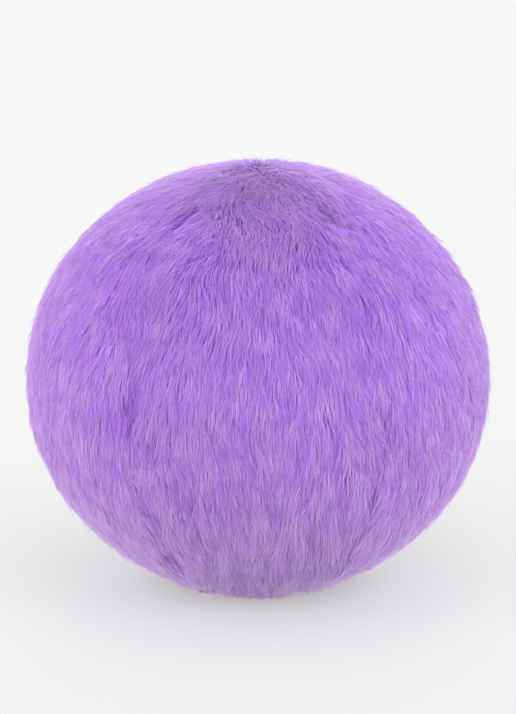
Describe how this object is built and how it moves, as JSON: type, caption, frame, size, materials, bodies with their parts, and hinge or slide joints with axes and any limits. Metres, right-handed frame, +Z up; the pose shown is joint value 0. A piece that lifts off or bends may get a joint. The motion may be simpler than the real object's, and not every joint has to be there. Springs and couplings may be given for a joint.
{
  "type": "plush-covered playground ball",
  "caption": "Round playground ball: an inflated rubber bladder in a zipped cover of combed long-pile faux fur, slightly flattened where it rests.",
  "frame": {"origin": "centre of the flat patch the ball rests on, at the floor", "axes": "+Z up through the top gather of the gores; -Y is the front, the middle of the front gore; +X is the right"},
  "size_m": [0.25, 0.25, 0.232],
  "materials": {
    "fur": "long-pile faux fur, lilac, combed down from the top",
    "seam_thread": "twisted polyester sewing thread",
    "zipper_tape": "woven polyester tape",
    "zipper_coil": "nylon coil",
    "zipper_metal": "enamelled zinc",
    "bladder_rubber": "matt playground-ball rubber",
    "valve_rubber": "soft black rubber"
  },
  "bodies": {
    "ball": {"gore_front": "fur", "seam_thread_front": "seam_thread", "gore_front_right": "fur", "seam_thread_front_right": "seam_thread", "gore_back_right": "fur", "seam_thread_back_right": "seam_thread", "gore_back": "fur", "seam_thread_back": "seam_thread", "gore_back_left": "fur", "seam_thread_back_left": "seam_thread", "gore_front_left": "fur", "seam_thread_front_left": "seam_thread", "zipper_tape_left": "zipper_tape", "zipper_coil_left": "zipper_coil", "zipper_top_stop_left": "zipper_metal", "zipper_stitch_left": "seam_thread", "zipper_tape_right": "zipper_tape", "zipper_coil_right": "zipper_coil", "zipper_top_stop_right": "zipper_metal", "zipper_stitch_right": "seam_thread", "zipper_bottom_stop": "zipper_metal", "bladder_shell": "bladder_rubber", "valve_housing": "valve_rubber", "valve_plug": "valve_rubber", "pole_tack_top": "seam_thread", "pole_tack_bottom": "seam_thread"},
    "slider": {"zipper_slider": "zipper_metal"},
    "pull": {"zipper_pull": "zipper_metal"}
  },
  "joints": [
    {"name": "zipper_slide", "type": "hinge", "parent": "ball", "child": "slider", "pos_m": [-0.006, 0.01039, 0.1145], "axis": [-0.866, -0.5, 0], "range_deg": [0, 59.1]},
    {"name": "pull_swing", "type": "hinge", "parent": "slider", "child": "pull", "pos_m": [-0.05514, 0.09551, 0.14756], "axis": [0.866, 0.5, 0], "range_deg": [0, 150]}
  ]
}
